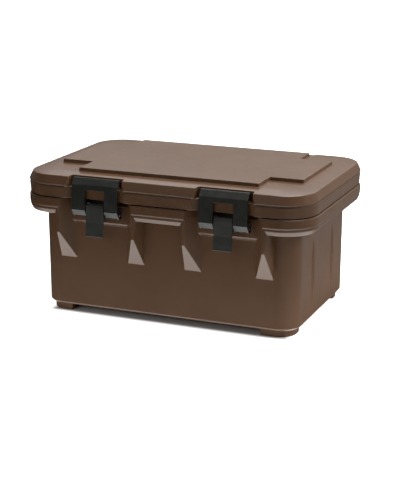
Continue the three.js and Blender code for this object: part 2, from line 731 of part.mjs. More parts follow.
// One latch, in its own group, turned to face outwards from its side of the carrier.
function latch({ name, x, turn }) {
  const group = new THREE.Group();
  group.position.x = x;
  group.rotation.z = turn;
  const leverPin = rod(LEVER_AXIS, LEVER_PIN_RADIUS, LEVER_HALF_WIDTH - 0.5, PIN_SIDES);
  const linkPinHalf = LINK_HALF_WIDTH + LINK_EYE_PROUD - 0.5;
  const linkPin = rod(LINK_AXIS, LINK_PIN_RADIUS, linkPinHalf, PIN_SIDES);
  group.add(
    piece(`${name}_bracket`, bracket(), BLACK),
    piece(`${name}_lever`, lever(), BLACK),
    piece(`${name}_link`, link(), BLACK),
    piece(`${name}_lever_pin`, solid(leverPin), STEEL),
    piece(`${name}_link_pin`, solid(linkPin), STEEL),
  );
  [-SCREW_X, SCREW_X].forEach((place, index) => {
    group.add(piece(`${name}_screw_${index + 1}`, screw(place), STEEL));
    group.add(piece(`${name}_insert_${index + 1}`, insert(place), BRASS));
  });
  return group;
}

// ---- Assembly -----------------------------------------------------------------------------------

const carrier = new THREE.Group();
carrier.add(
  bodyShell(),
  bodyFoam(),
  fillPlug("body_fill_plug", FOOT_HEIGHT),
  lidShell(),
  lidFoam(),
  fillPlug("lid_fill_plug", LID_PLUG_BOTTOM_Z),
  lidGasket(),
  ...LATCHES.map(latch),
);

export default carrier;
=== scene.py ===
# The looks of the insulated food carrier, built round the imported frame.
#
# Shapes are drawn in millimetres and become metres when they turn into Blender meshes. +X runs to the
# right along the long side, +Y to the back and +Z up. In a latch's own frame x runs along the carrier
# from the latch's centre, and "out" is the distance from the carrier's middle plane.

import json
import math

import bmesh
import bpy
from mathutils import Matrix, Vector


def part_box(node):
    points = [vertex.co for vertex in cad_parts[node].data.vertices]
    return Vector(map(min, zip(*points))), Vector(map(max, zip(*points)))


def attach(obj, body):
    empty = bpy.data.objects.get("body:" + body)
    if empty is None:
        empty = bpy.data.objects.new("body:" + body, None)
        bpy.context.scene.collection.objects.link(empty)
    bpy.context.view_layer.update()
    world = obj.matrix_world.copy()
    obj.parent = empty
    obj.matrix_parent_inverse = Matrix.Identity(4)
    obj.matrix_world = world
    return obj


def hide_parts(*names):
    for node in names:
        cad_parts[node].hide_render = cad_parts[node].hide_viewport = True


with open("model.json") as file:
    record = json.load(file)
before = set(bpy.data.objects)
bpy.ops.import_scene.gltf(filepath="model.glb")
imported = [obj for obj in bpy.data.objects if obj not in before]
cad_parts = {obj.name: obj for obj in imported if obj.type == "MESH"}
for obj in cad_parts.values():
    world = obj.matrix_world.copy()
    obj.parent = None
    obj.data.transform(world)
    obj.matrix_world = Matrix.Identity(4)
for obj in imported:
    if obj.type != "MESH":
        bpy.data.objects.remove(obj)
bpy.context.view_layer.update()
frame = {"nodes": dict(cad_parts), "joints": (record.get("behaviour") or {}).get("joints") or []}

MM = 0.001  # metres in a millimetre


# ---- Sizes taken from the frame -----------------------------------------------------------------


def box_mm(node):
    """A node's low and high corners in millimetres."""
    low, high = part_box(node)
    return low / MM, high / MM


def joint_place(name):
    """A hinge's place as (x, out, z) in millimetres."""
    joint = next(j for j in frame["joints"] if j["name"] == name)
    x, y, z = joint["pos_m"]
    return x / MM, abs(y) / MM, z / MM


_, BODY_HIGH = box_mm("body_shell")
LID_LOW, LID_HIGH = box_mm("lid_shell")
GASKET_LOW, GASKET_HIGH = box_mm("lid_gasket")
LEVER_LOW, LEVER_HIGH = box_mm("front_right_lever")
LINK_LOW, LINK_HIGH = box_mm("front_right_link")
BRACKET_LOW, BRACKET_HIGH = box_mm("front_right_bracket")
LATCH_X, LEVER_OUT, LEVER_Z = joint_place("front_right_lever_hinge")
_, LINK_OUT, LINK_Z = joint_place("front_right_link_hinge")

HALF_LENGTH = BODY_HIGH.x
HALF_DEPTH = BODY_HIGH.y
RIM_TOP = BODY_HIGH.z
LID_TOP = LID_HIGH.z
PLUG_BOTTOM = LID_LOW.z

# ---- Other sizes, in millimetres ----------------------------------------------------------------

CORNER_RADIUS = 71
CORNER_STEPS = 14  # straight pieces in each rounded corner
ARC_STEP = math.radians(14)  # turn of each straight piece in a small fillet
SHARP = math.radians(24)  # edges that turn by more than this get a bevel
BODY_BEVEL = 1.3
LID_BEVEL = 0.9
LATCH_BEVEL = 0.6

BOTTOM_CHAMFER = 4.5
END_RIB_Y = 65
END_RIB_BOTTOM = 36
END_RIB_TOP = 184
END_RIB_HALF = 8
END_RIB_HEIGHT = 3.6
END_RIB_ROOT = 4  # how far it reaches into the wall
FOOT_HEIGHT = 14.5
FOOT_LENGTHS = {-1: 53, 1: 66}  # of the left and right feet, along the front
FOOT_WIDTH = 50
FOOT_INSET = 9.3
WALL_INSET = 34.5
WALL_DRAFT = 1.3
WALL_RADIUS = 43.5
RIM_UNDERSIDE = 220
RIM_LIP = 234  # a soft step in the rim's face
RIM_STEP = 1.2
RIM_TOP_RADIUS = 3.2

WELL_FLOOR = 62
LEDGE = 222
WELL_FLOOR_HALF = (247, 144.5)
WELL_TOP_HALF = 258  # along x, just under the ledge
LEDGE_HALF = (268.5, 166)
WELL_RADIUS = 50
LEDGE_RADIUS = 38
PLUG_CLEARANCE = 3

LID_BOTTOM = 256
LID_SHOULDER = (8, 300.3)  # inset and height of the line where bevel and margin would meet
LID_MARGIN_INSET = 46
LID_MARGIN = 304
PANEL_MIDDLE = (198, 161.5)
PANEL_WING = (269, 96.5)

POCKET_OUT = 183
UNDERCUT_OUT = 175.5  # back of the pocket beside the bracket, near the rim's top
UNDERCUT_START = 33
UNDERCUT_BOTTOM = 244
PAD_BOTTOM = 198.5
PAD_CHAMFER = 6
RIB_BACK = 168  # buttresses start this far out, inside the wall
RIB_TOP = 232
RIB_FACET = 184.7  # height of the facet's top, at the rim's edge
RIB_FACET_SLOPE = 1.8  # its fall towards the wall
RIB_INNER = (82.7, 0.693)  # half the gap between ribs at the rim's edge, and its loss per millimetre in
RIB_OUTER = (87.2, -0.24)
RIB_OUTER_TOP = (93.2, -0.055)
RIB_CORNER = (5.8, 6)  # its front corner is cut off below the rim, by this much along and in

RECESS_OUT = 189.5
RECESS_HALF = 60
RECESS_CORNER = 9
CATCH_HALF = 50
CATCH_OUT = 194.3  # back of the lip under the hook
CATCH_TOP = 293.5
GROOVE_FLOOR = 283.5
RECESS_MOUTH = 11
BAND_HALF = 54  # the set-back stretch of the lid's lower band
BAND_OUT = 201.5
GROOVE_MIDDLE = 279.8

LINK_HALF = 51.5
LINK_FOOT = (211, 234)  # (out, z) of the plate's ends
LINK_BEND = (206.5, 286.5)
LINK_CREST_OUT = 196.3
LINK_LEG = 239  # where a leg's back turns in to its barrel
LINK_BARREL = 5.4
HOOK_TIP = (190.3, 287)
HOOK_THICKNESS = 2.8
LINK_EYE_HALF = (LINK_HIGH.x - LINK_LOW.x) / 2  # over the cheeks beside its feet
LINK_EYE_DEPTH = 9.5
LINK_EYE_RISE = 12.5
LINK_EYE_MIDDLE = (196.5, 230)
WINDOW_HALF = 21.7
WINDOW_TOP = 276
LINK_THICKNESS = 3.2
LEVER_HALF = (LEVER_HIGH.x - LEVER_LOW.x) / 2
LEVER_THICKNESS = 3
LEVER_BEND = 209
LEVER_FACE = LEVER_OUT + 9.2
LEVER_TIP = -LEVER_LOW.y
LEVER_RIB_INNER = 9.6  # half the space between its two ribs
BRACKET_HALF = (BRACKET_HIGH.x - BRACKET_LOW.x) / 2
BRACKET_THICKNESS = 3.2
LUG_HALF = 9
LUG_RADIUS = 5.5
LUG_ROOT = (222, 232)  # heights where the lug leaves the plate
LEVER_PIN_RADIUS = 2.5
LEVER_HOLE_RADIUS = 2.6
LINK_PIN_RADIUS = 2.2
LINK_HOLE_RADIUS = 2.4
SCREW_X = 24
SCREW_Z = 243
SCREW_RADIUS = 2.4
GASKET_WIDTH = 8
GASKET_RADIUS = 48

# ---- Meshes from points -------------------------------------------------------------------------


def rounded(points):
    """A closed outline of (a, b, radius) corners as (a, b) points, each corner turned into an arc."""
    outline = []
    count = len(points)
    for index, (a, b, radius) in enumerate(points):
        here = Vector((a, b))
        back = Vector(points[index - 1][:2]) - here
        ahead = Vector(points[(index + 1) % count][:2]) - here
        if radius == 0:
            outline.append((a, b))
            continue
        back_length, ahead_length = back.length, ahead.length
        back.normalize()
        ahead.normalize()
        half = back.angle(ahead) / 2
        reach = min(radius / math.tan(half), 0.49 * back_length, 0.49 * ahead_length)
        radius = reach * math.tan(half)
        centre = here + (back + ahead).normalized() * (radius / math.sin(half))
        first = here + back * reach - centre
        turn = (math.pi - 2 * half) * (1 if ahead.cross(back) > 0 else -1)
        steps = max(2, math.ceil(abs(turn) / ARC_STEP))
        for step in range(steps + 1):
            angle = turn * step / steps
            cos, sin = math.cos(angle), math.sin(angle)
            spoke = Vector((first.x * cos - first.y * sin, first.x * sin + first.y * cos))
            outline.append(tuple(centre + spoke))
    return outline


def profile(points):
    """An open line of (a, b, radius) points; the first and last stay sharp."""
    ends = [(*points[0][:2], 0), *points[1:-1], (*points[-1][:2], 0)]
    return rounded(ends)


def ring(half_x, half_y, radius, z, steps=CORNER_STEPS):
    """A rectangle with rounded corners, anticlockwise from above."""
    points = []
    for corner in range(4):
        sign_x = 1 if corner in (0, 3) else -1
        sign_y = 1 if corner in (0, 1) else -1
        for step in range(steps + 1):
            angle = (corner + step / steps) * math.pi / 2
            x = sign_x * (half_x - radius) + radius * math.cos(angle)
            y = sign_y * (half_y - radius) + radius * math.sin(angle)
            points.append((x, y, z))
    return points


def object_from(bm):
    """A mesh drawn in millimetres as a Blender object in metres."""
    bmesh.ops.recalc_face_normals(bm, faces=bm.faces)
    bmesh.ops.scale(bm, vec=(MM, MM, MM), verts=bm.verts)
    mesh = bpy.data.meshes.new("tool")
    bm.to_mesh(mesh)
    bm.free()
    made = bpy.data.objects.new("tool", mesh)
    bpy.context.scene.collection.objects.link(made)
    return made


def skin(rings, closed=False):
    """A solid through rings of the same number of points. Closed joins the last ring to the first."""
    bm = bmesh.new()
    levels = [[bm.verts.new(point) for point in points] for points in rings]
    pairs = list(zip(levels, levels[1:]))
    if closed:
        pairs.append((levels[-1], levels[0]))
    for low, high in pairs:
        for i in range(len(low)):
            j = (i + 1) % len(low)
            bm.faces.new((low[i], low[j], high[j], high[i]))
    if not closed:
        bm.faces.new(levels[0][::-1])
        bm.faces.new(levels[-1])
    return object_from(bm)


def extrusion(outline, low, high, along):
    """A closed outline stretched from low to high; along places an outline point at a given reach."""
    return skin([[along(a, b, reach) for a, b in outline] for reach in (low, high)])


def side_prism(outline, low, high):
    """A side outline in (out, z), stretched along x in a latch's own frame."""
    return extrusion(outline, low, high, lambda out, z, x: (x, -out, z))


def plan_prism(outline, low, high):
    """An outline in (x, out), stretched upwards in a latch's own frame."""
    return extrusion(outline, low, high, lambda x, out, z: (x, -out, z))


def block(low, high):
    """A box between two corners."""
    x0, y0, z0 = low
    x1, y1, z1 = high
    corners = [(x0, y0), (x1, y0), (x1, y1), (x0, y1)]
    return skin([[(x, y, z) for x, y in corners] for z in (z0, z1)])


def hull(points):
    """The hull of points given as (x, out, z) in a latch's own frame."""
    bm = bmesh.new()
    for x, out, z in points:
        bm.verts.new((x, -out, z))
    bmesh.ops.convex_hull(bm, input=bm.verts)
    bmesh.ops.dissolve_limit(
        bm, angle_limit=math.radians(0.5), verts=bm.verts, edges=bm.edges
    )
    return object_from(bm)


def turned(outline, steps, place):
    """An outline of (reach, radius) points, from the axis to the axis, turned about it."""
    bm = bmesh.new()
    start = bm.verts.new(place(outline[0][0], 0, 0))
    end = bm.verts.new(place(outline[-1][0], 0, 0))
    columns = []
    for step in range(steps):
        cos = math.cos(2 * math.pi * step / steps)
        sin = math.sin(2 * math.pi * step / steps)
        columns.append([bm.verts.new(place(a, r * cos, r * sin)) for a, r in outline[1:-1]])
    for low, high in zip(columns, columns[1:] + columns[:1]):
        bm.faces.new((start, low[0], high[0]))
        for i in range(len(low) - 1):
            bm.faces.new((low[i], low[i + 1], high[i + 1], high[i]))
        bm.faces.new((end, high[-1], low[-1]))
    return object_from(bm)


# ---- Joining, cutting and rounding --------------------------------------------------------------


def combine(target, tool, operation):
    """Joins tool to target or cuts it away, and removes tool."""
    modifier = target.modifiers.new("combine", "BOOLEAN")
    modifier.operation = operation
    modifier.solver = "MANIFOLD"
    modifier.object = tool
    depsgraph = bpy.context.evaluated_depsgraph_get()
    mesh = bpy.data.meshes.new_from_object(target.evaluated_get(depsgraph))
    target.modifiers.clear()
    target.data = mesh
    bpy.data.objects.remove(tool)
    return target


def join(target, tool):
    return combine(target, tool, "UNION")


def cut(target, tool):
    return combine(target, tool, "DIFFERENCE")


def round_edges(made, width):
    """Bevels every sharp edge of a finished solid."""
    bm = bmesh.new()
    bm.from_mesh(made.data)
    bmesh.ops.remove_doubles(bm, verts=bm.verts, dist=0.02 * MM)
    bmesh.ops.dissolve_limit(
        bm, angle_limit=math.radians(0.6), verts=bm.verts, edges=bm.edges
    )
    sharp = [e for e in bm.edges if e.is_manifold and e.calc_face_angle() > SHARP]
    bmesh.ops.bevel(
        bm,
        geom=sharp,
        offset=width * MM,
        offset_type="OFFSET",
        segments=3,
        profile=0.5,
        affect="EDGES",
        clamp_overlap=False,
        loop_slide=True,
    )
    bmesh.ops.remove_doubles(bm, verts=bm.verts, dist=0.02 * MM)
    bm.to_mesh(made.data)
    bm.free()
    return made


def finish_piece(made, name, body, node, material):
    """Names a solid, smooths it, gives it its material and lets it ride on its body."""
    made.name = name
    made.data.name = name
    for polygon in made.data.polygons:
        polygon.use_smooth = True
    made.data.materials.clear()
    made.data.materials.append(material)
    weighted = made.modifiers.new("weighted normals", "WEIGHTED_NORMAL")
    weighted.keep_sharp = True
    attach(made, body)
    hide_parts(node)


# ---- Latch places -------------------------------------------------------------------------------

LATCHES = {
    "front_left": (-LATCH_X, 0),
    "front_right": (LATCH_X, 0),
    "rear_left": (-LATCH_X, math.pi),
    "rear_right": (LATCH_X, math.pi),
}


def latch_matrix(name):
    """Takes a latch's own frame to its place on the carrier."""
    x, turn = LATCHES[name]
    return Matrix.Translation((x * MM, 0, 0)) @ Matrix.Rotation(turn, 4, "Z")


def at_each_latch(target, make, operation):
    """Makes a tool for each latch, in its own frame, and combines it with target."""
    for name in LATCHES:
        tool = make()
        tool.data.transform(latch_matrix(name))
        target = operation(target, tool)
    return target


# ---- Carrier body -------------------------------------------------------------------------------


def inset_ring(inset, z, radius=None):
    """The carrier's rounded outline, drawn in by an inset."""
    corner = CORNER_RADIUS - inset if radius is None else radius
    return ring(HALF_LENGTH - inset, HALF_DEPTH - inset, corner, z)


def wall_inset(z):
    """How far the drafted wall stands in from the rim at a height."""
    return WALL_INSET + WALL_DRAFT * (RIM_UNDERSIDE - z) / (RIM_UNDERSIDE - FOOT_HEIGHT)


def body_block():
    """The body's outside without its latch pockets: wall, overhanging rim and its fillets."""
    bottom = wall_inset(FOOT_HEIGHT)
    wall = [
        (bottom + BOTTOM_CHAMFER, FOOT_HEIGHT),
        (bottom, FOOT_HEIGHT + BOTTOM_CHAMFER),
        (WALL_INSET, RIM_UNDERSIDE),
    ]
    rim = profile(
        [
            (6, RIM_UNDERSIDE, 0),
            (RIM_STEP, RIM_UNDERSIDE + 9.5, 0),
            (RIM_STEP, RIM_LIP, 0),
            (0, RIM_LIP + 2.6, 0),
            (0, RIM_TOP, RIM_TOP_RADIUS),
            (WALL_INSET, RIM_TOP, 0),
        ]
    )
    rings = [inset_ring(inset, z, WALL_RADIUS - inset + WALL_INSET) for inset, z in wall]
    rings += [inset_ring(inset, z) for inset, z in rim]
    return skin(rings)


def rib_side(side, out):
    """Distance of a rib's flank from the latch's centre, at a distance out."""
    edge, loss = side
    return edge - loss * (HALF_DEPTH - out)


def pocket():
    """The space between two ribs that a latch sits in."""
    beyond = HALF_DEPTH + 10
    corners = [(-1, POCKET_OUT), (1, POCKET_OUT), (1, beyond), (-1, beyond)]
    outline = [(side * rib_side(RIB_INNER, out), out) for side, out in corners]
    return plan_prism(outline, PAD_BOTTOM, RIM_TOP + 5)


def pocket_corner(side):
    """An undercut behind the top of a rib, beside the bracket."""
    near = side * UNDERCUT_START
    far = side * rib_side(RIB_INNER, POCKET_OUT)
    front = POCKET_OUT + 1
    outline = [(near, UNDERCUT_OUT), (far, UNDERCUT_OUT), (far, front), (near, front)]
    return plan_prism(outline, UNDERCUT_BOTTOM, RIM_TOP + 5)


def buttress(side):
    """One of the ribs beside a latch, which carry the rim and end in a sloping facet."""
    points = []
    front = HALF_DEPTH - RIM_STEP
    for out in (RIB_BACK, front):
        facet = RIB_FACET - RIB_FACET_SLOPE * (HALF_DEPTH - out)
        points += [
            (side * rib_side(RIB_INNER, out), out, RIB_TOP),
            (side * rib_side(RIB_INNER, out), out, facet),
            (side * rib_side(RIB_OUTER, out), out, facet),
        ]
    along, inwards = RIB_CORNER
    points += [
        (side * rib_side(RIB_OUTER_TOP, RIB_BACK), RIB_BACK, RIB_TOP),
        (side * rib_side(RIB_OUTER_TOP, front - inwards), front - inwards, RIB_TOP),
        (side * (rib_side(RIB_OUTER_TOP, front) - along), front, RIB_TOP),
    ]
    return hull(points)


def pad():
    """The flat pad at the back of a pocket, which the bracket is screwed to."""
    outline = [
        (RIB_BACK, PAD_BOTTOM),
        (POCKET_OUT - PAD_CHAMFER, PAD_BOTTOM),
        (POCKET_OUT, PAD_BOTTOM + PAD_CHAMFER),
        (POCKET_OUT, RIM_UNDERSIDE + 2),
        (RIB_BACK, RIM_UNDERSIDE + 2),
    ]
    half = rib_side(RIB_INNER, POCKET_OUT) + 2
    return side_prism(outline, -half, half)


def foot(side_x, side_y):
    """The corner piece of a block that follows the wall's outline."""
    inset = wall_inset(FOOT_HEIGHT) + FOOT_INSET
    radius = WALL_RADIUS - FOOT_INSET
    whole = skin([inset_ring(inset, z, radius) for z in (0, FOOT_HEIGHT + 3)])
    reach_x = HALF_LENGTH - inset
    reach_y = HALF_DEPTH - inset
    low = (reach_x - FOOT_LENGTHS[side_x], reach_y - FOOT_WIDTH, -1)
    high = (reach_x + 1, reach_y + 1, FOOT_HEIGHT + 5)
    corner = block(low, high)
    corner.data.transform(Matrix.Diagonal((side_x, side_y, 1, 1)))
    if side_x * side_y < 0:
        corner.data.flip_normals()
    return combine(whole, corner, "INTERSECT")


def well():
    """The space inside: the pan's body hangs in it and the pan's flange rests on its ledge."""
    floor_x, floor_y = WELL_FLOOR_HALF
    draft = WELL_TOP_HALF - floor_x
    ledge = LEDGE_HALF[0] - floor_x
    # The first number is the growth from the well's floor outline.
    line = profile(
        [
            (-20, WELL_FLOOR, 0),
            (0, WELL_FLOOR, 14),
            (draft, LEDGE, 2.5),
            (ledge, LEDGE, 3),
            (ledge, RIM_TOP, 3),
            (ledge + 9, RIM_TOP, 0),
        ]
    )
    rings = []
    for growth, z in line:
        share = min(max((growth - draft) / (ledge - draft), 0), 1)
        radius = WELL_RADIUS + (LEDGE_RADIUS - WELL_RADIUS) * share + min(growth, 0)
        rings.append(ring(floor_x + growth, floor_y + growth, radius, z))
    top = rings[-1]
    rings.append([(x, y, RIM_TOP + 5) for x, y, _ in top])
    return skin(rings)


def end_rib(side, y):
    """A shallow upright rib on an end wall, pointed at both ends."""
    rows, columns = 24, 12
    rings = []
    for row in range(rows + 1):
        z = END_RIB_BOTTOM + (END_RIB_TOP - END_RIB_BOTTOM) * row / rows
        swell = math.sin(math.pi * row / rows) ** 0.6 + 0.02
        half_width = END_RIB_HALF * swell
        wall = HALF_LENGTH - wall_inset(z)
        points = []
        for column in range(columns + 1):
            share = 2 * column / columns - 1
            proud = END_RIB_HEIGHT * swell * (1 - abs(share)) ** 1.1
            points.append((side * (wall - 0.1 + proud), y + share * half_width, z))
        root = side * (wall - END_RIB_ROOT)
        points.append((root, y + half_width, z))
        points.append((root, y - half_width, z))
        rings.append(points)
    return skin(rings)


def body_shell():
    """The body, still solid between its walls."""
    shell = body_block()
    shell = at_each_latch(shell, pocket, cut)
    shell = at_each_latch(shell, lambda: buttress(-1), join)
    shell = at_each_latch(shell, lambda: buttress(1), join)
    shell = at_each_latch(shell, pad, join)
    shell = at_each_latch(shell, lambda: pocket_corner(-1), cut)
    shell = at_each_latch(shell, lambda: pocket_corner(1), cut)
    for side_x in (-1, 1):
        for side_y in (-1, 1):
            shell = join(shell, foot(side_x, side_y))
    shell = cut(shell, well())
    shell = round_edges(shell, BODY_BEVEL)
    for side in (-1, 1):
        for y in (-END_RIB_Y, END_RIB_Y):
            shell = join(shell, end_rib(side, y))
    return shell


# ---- Lid ----------------------------------------------------------------------------------------


def lid_block():
    """The lid's plug, its banded edge, its shoulder and its flat margin."""
    plug_x, plug_y = (half - PLUG_CLEARANCE for half in LEDGE_HALF)
    plug_radius = LEDGE_RADIUS - PLUG_CLEARANCE
    shoulder = profile(
        [(0.1, 283.2, 0), (*LID_SHOULDER, 3), (LID_MARGIN_INSET, LID_MARGIN, 0)]
    )
    # The drafted lower band, then the fine step above it.
    edge = [(2.6, LID_BOTTOM), (0.9, 277.6), (2.7, 279.4), (2.7, 280.8), *shoulder]
    rings = [
        ring(plug_x + growth, plug_y + growth, plug_radius + growth, z)
        for growth, z in ((-2, PLUG_BOTTOM), (0, LID_BOTTOM))
    ]
    rings += [inset_ring(inset, z) for inset, z in edge]
    return skin(rings)


def panel(half):
    """One bar of the raised cross, with drafted sides."""
    half_x, half_y = half
    rings = []
    for growth, z in ((1.6, LID_MARGIN - 4), (0, LID_TOP)):
        rings.append(ring(half_x + growth, half_y + growth, 2.5, z, steps=3))
    return skin(rings)


def recess():
    """The recess that a link stands in, above the lower band."""
    mouth = RECESS_HALF + RECESS_MOUTH
    start = HALF_DEPTH - RECESS_MOUTH
    flare = []
    steps = 7
    for step in range(steps + 1):
        angle = math.pi / 2 * (1 - step / steps)
        x = mouth - RECESS_MOUTH * math.cos(angle)
        out = start + RECESS_MOUTH * math.sin(angle)
        flare.append((-x, out))
    left = [(-mouth - 4, HALF_DEPTH + 12), (-mouth - 4, HALF_DEPTH), *flare]
    back = rounded(
        [
            (-RECESS_HALF, start - 0.5, 0),
            (-RECESS_HALF, RECESS_OUT, RECESS_CORNER),
            (RECESS_HALF, RECESS_OUT, RECESS_CORNER),
            (RECESS_HALF, start - 0.5, 0),
        ]
    )
    right = [(-x, out) for x, out in reversed(left)]
    return plan_prism(left + back + right, GROOVE_MIDDLE, LID_TOP + 5)


def band_cut():
    """Sets the lower band back behind the link, with a ramp each side."""
    mouth = RECESS_HALF + RECESS_MOUTH
    wide = mouth + (mouth - BAND_HALF)
    beyond = 2 * HALF_DEPTH - BAND_OUT
    outline = [(-wide, beyond), (-BAND_HALF, BAND_OUT), (BAND_HALF, BAND_OUT), (wide, beyond)]
    return plan_prism(outline, LID_BOTTOM - 2, GROOVE_MIDDLE)


def catch_lip():
    """The lip under a link's hook, and the floor of the groove behind it."""
    outline = [
        (RECESS_OUT - 4, GROOVE_MIDDLE - 2),
        (RECESS_OUT - 4, GROOVE_FLOOR),
        (CATCH_OUT, GROOVE_FLOOR),
        (CATCH_OUT, CATCH_TOP),
        (CATCH_OUT + 2.9, CATCH_TOP),
        (CATCH_OUT + 6.9, CATCH_TOP - 6.9),
        (BAND_OUT + 0.6, GROOVE_MIDDLE - 2),
    ]
    return side_prism(outline, -CATCH_HALF, CATCH_HALF)


def gasket_groove():
    """The groove that holds the gasket, a little wider than it."""
    inner, outer = gasket_halves(0.3)
    top = GASKET_HIGH.z + 0.3
    outside = skin([ring(*outer, z) for z in (LID_BOTTOM - 3, top)])
    inside = skin([ring(*inner, z) for z in (LID_BOTTOM - 5, top + 2)])
    return cut(outside, inside)


def gasket_halves(clearance):
    """The gasket's inner and outer outlines as (half x, half y, radius)."""
    sizes = (GASKET_HIGH.x, GASKET_HIGH.y, GASKET_RADIUS)
    outer = tuple(size + clearance for size in sizes)
    inner = tuple(size - GASKET_WIDTH - clearance for size in sizes)
    return inner, outer


def lid_shell():
    """The lid, still solid between its skins."""
    lid = lid_block()
    lid = join(lid, panel(PANEL_MIDDLE))
    lid = join(lid, panel(PANEL_WING))
    lid = at_each_latch(lid, recess, cut)
    lid = at_each_latch(lid, band_cut, cut)
    lid = at_each_latch(lid, catch_lip, join)
    lid = cut(lid, gasket_groove())
    return round_edges(lid, LID_BEVEL)


# ---- Latch --------------------------------------------------------------------------------------


def across(outline, half, inner=None):
    """A side outline as one prism, or as one each side beyond inner."""
    if inner is None:
        return side_prism(outline, -half, half)
    left = side_prism(outline, -half, -inner)
    return join(left, side_prism(outline, inner, half))


def arc(radius, start, end, centre=(LEVER_OUT, LEVER_Z), steps=12):
    """An arc's points, for an outline with corners; start and end are in degrees."""
    points = []
    for step in range(steps + 1):
        angle = math.radians(start + (end - start) * step / steps)
        out = centre[0] + radius * math.cos(angle)
        points.append((out, centre[1] + radius * math.sin(angle), 0))
    return points


def pin_place(out, z):
    """Puts points given along and across an axis onto the axis along x at (out, z)."""
    return lambda x, a, b: (x, -out + a, z + b)


def hole(out, z, radius, half):
    """A round bar along x to cut a pin's hole with."""
    return turned([(-half, 0), (-half, radius), (half, radius), (half, 0)], 32, pin_place(out, z))


def link():
    """The link: a plate with a window, barrels and cheeks at its feet and a hook on top."""
    foot_out, foot_z = LINK_FOOT
    bend_out, bend_z = LINK_BEND
    tip_out, tip_z = HOOK_TIP
    crest_z = LINK_HIGH.z
    lean = (foot_out - bend_out) / (bend_z - foot_z)

    def face(z):
        return foot_out - lean * (z - foot_z)

    def back(z):
        return face(z) - LINK_THICKNESS

    top = rounded(
        [
            (face(WINDOW_TOP), WINDOW_TOP, 0),
            (bend_out, bend_z, 1.6),
            (LINK_CREST_OUT, crest_z, 3.5),
            (tip_out, crest_z - 2.7, 3),
            (tip_out, tip_z, 1.2),
            (tip_out + HOOK_THICKNESS, tip_z, 1.2),
            (tip_out + HOOK_THICKNESS, crest_z - 5.1, 1.5),
            (LINK_CREST_OUT - 0.3, crest_z - 3.7, 1.5),
            (bend_out - LINK_THICKNESS, bend_z - 1.8, 1.2),
            (back(WINDOW_TOP), WINDOW_TOP, 0),
        ]
    )
    leg = rounded(
        [
            (face(WINDOW_TOP + 1), WINDOW_TOP + 1, 0),
            (back(WINDOW_TOP + 1), WINDOW_TOP + 1, 0),
            (back(LINK_LEG), LINK_LEG, 4),
            (LINK_OUT + 3, LINK_Z + LINK_BARREL, 2),
            *arc(LINK_BARREL, 90, 270, (LINK_OUT, LINK_Z)),
            (LINK_OUT + 6.5, LINK_Z - LINK_BARREL, 1.5),
            (foot_out, foot_z, 1),
        ]
    )
    made = across(top, LINK_HALF)
    made = join(made, across(leg, LINK_HALF, WINDOW_HALF))
    made = join(made, across(oval(1), LINK_EYE_HALF, LINK_HALF - 4))
    made = cut(made, across(oval(0.72), LINK_EYE_HALF + 1, LINK_EYE_HALF - 0.7))
    made = cut(made, hole(LINK_OUT, LINK_Z, LINK_HOLE_RADIUS, LINK_EYE_HALF + 2))
    return round_edges(made, LATCH_BEVEL)


def oval(share):
    """The side outline of the cheeks that the link's pin ends in."""
    out, z = LINK_EYE_MIDDLE
    steps = 32
    outline = []
    for step in range(steps):
        angle = 2 * math.pi * step / steps
        depth = share * LINK_EYE_DEPTH * math.cos(angle)
        outline.append((out + depth, z + share * LINK_EYE_RISE * math.sin(angle)))
    return outline


def lever():
    """The lever: a plate capped round at the top and flared at the bottom, with two ribs behind."""
    turn_radius = LEVER_FACE - LEVER_OUT
    inner_radius = turn_radius - LEVER_THICKNESS
    back = LEVER_FACE - LEVER_THICKNESS
    handle = rounded(
        [
            *arc(turn_radius, 85, 0),
            (LEVER_FACE, LEVER_BEND, 6),
            (LEVER_TIP, LEVER_LOW.z, 1.2),
            (LEVER_TIP - LEVER_THICKNESS, LEVER_LOW.z, 1.2),
            (back, LEVER_BEND, 6),
            *arc(inner_radius, 0, 85),
        ]
    )
    rib = rounded(
        [
            *arc(turn_radius - LEVER_THICKNESS / 2, 0, 180),
            *arc(4.8, 180, 300, (LINK_OUT, LINK_Z)),
            (back + 1, LEVER_BEND + 3, 0),
        ]
    )
    made = across(handle, LEVER_HALF)
    made = join(made, across(rib, LEVER_HALF, LEVER_RIB_INNER))
    made = cut(made, hole(LEVER_OUT, LEVER_Z, LEVER_HOLE_RADIUS, LEVER_HALF + 2))
    made = cut(made, hole(LINK_OUT, LINK_Z, LINK_HOLE_RADIUS, LEVER_HALF + 2))
    return round_edges(made, LATCH_BEVEL)


def bracket():
    """The plate that is screwed to the pad, with the lug that carries the lever's pin."""
    back = -BRACKET_HIGH.y
    front = back + BRACKET_THICKNESS
    low, high = BRACKET_LOW.z, BRACKET_HIGH.z
    plate = [(-BRACKET_HALF, low, 4), (BRACKET_HALF, low, 4), (BRACKET_HALF, high, 4)]
    plate.append((-BRACKET_HALF, high, 4))
    made = extrusion(rounded(plate), back, front, lambda x, z, out: (x, -out, z))
    root_low, root_high = LUG_ROOT
    round_end = arc(LUG_RADIUS, -110, 205, steps=18)
    lug = [(front - 1, root_low, 0), *round_end, (front - 1, root_high, 0)]
    made = join(made, across(rounded(lug), LUG_HALF))
    made = cut(made, hole(LEVER_OUT, LEVER_Z, LEVER_HOLE_RADIUS, LUG_HALF + 3))
    clearance = SCREW_RADIUS + 0.3
    for x in (-SCREW_X, SCREW_X):
        made = cut(made, outward_bar(x, [(back - 1, clearance), (front + 1, clearance)]))
    return round_edges(made, LATCH_BEVEL)


def outward_bar(x, outline):
    """A round bar that points out of the carrier at a screw's place, from (out, radius) points."""
    ends = [(outline[0][0], 0), *outline, (outline[-1][0], 0)]
    return turned(ends, 28, lambda out, a, b: (x + a, -out, SCREW_Z + b))


